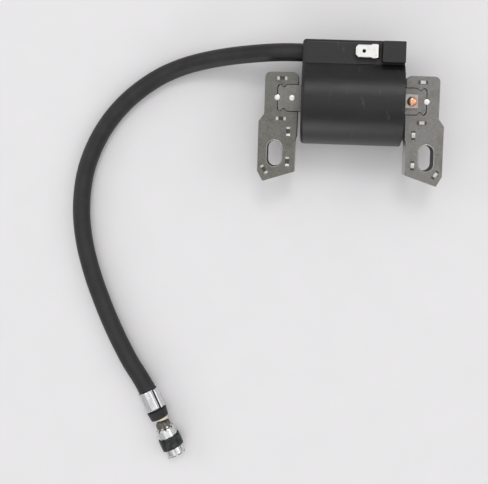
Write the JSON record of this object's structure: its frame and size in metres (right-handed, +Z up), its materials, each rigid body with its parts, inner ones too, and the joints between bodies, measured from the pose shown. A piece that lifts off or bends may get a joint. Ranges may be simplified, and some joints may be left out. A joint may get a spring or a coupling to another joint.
{
  "type": "ignition coil",
  "caption": "Small-engine ignition coil: laminated core with slotted legs, moulded drum case with a stop tab, and a rubber high-tension lead with a push-on plug socket.",
  "frame": {"origin": "on the surface that the coil lies on, under the middle of the coil without its lead", "axes": "+X along the core's bar, away from the lead's exit; +Y towards the box side of the case, away from the pole faces; +Z up, along the stack of core sheets"},
  "size_m": [0.1483, 0.1729, 0.0348],
  "materials": {
    "case_moulding": "satin black moulded thermoset",
    "potting": "poured black epoxy resin",
    "core_steel": "grey oxide-coated electrical steel sheet, blanked and stacked",
    "pin_steel": "bright peened steel",
    "copper": "copper, hammered head",
    "tinned_sheet": "bright tinned sheet",
    "bobbin_nylon": "natural glass-filled nylon",
    "enamel_wire": "enamelled copper wire",
    "board_laminate": "green circuit laminate",
    "component_resin": "black moulded component body",
    "resistor_lacquer": "beige lacquer",
    "lead_rubber": "matt black extruded rubber",
    "socket_plate": "bright plated steel, turned",
    "band_spring": "blackened spring steel"
  },
  "bodies": {
    "root": {"case_cup": "case_moulding", "potting_resin": "potting", "core_bar": "core_steel", "leg_left": "core_steel", "leg_right": "core_steel", "seam_pin_left": "pin_steel", "seam_pin_right": "pin_steel", "bar_rivet": "pin_steel", "ground_rivet": "copper", "ground_lug": "tinned_sheet", "stop_tab": "tinned_sheet", "primary_bobbin": "bobbin_nylon", "primary_winding": "enamel_wire", "secondary_bobbin": "bobbin_nylon", "secondary_winding": "enamel_wire", "circuit_board": "board_laminate", "power_transistor": "component_resin", "trigger_transistor": "component_resin", "trigger_resistor": "resistor_lacquer", "base_resistor": "resistor_lacquer", "clamp_diode": "component_resin", "ht_contact_screw": "pin_steel", "secondary_wire": "enamel_wire", "primary_wire_start": "enamel_wire", "primary_wire_end": "enamel_wire", "lead_jacket": "lead_rubber", "lead_conductor": "tinned_sheet", "plug_crimp": "tinned_sheet", "plug_socket": "socket_plate", "plug_band": "band_spring"}
  },
  "joints": []
}
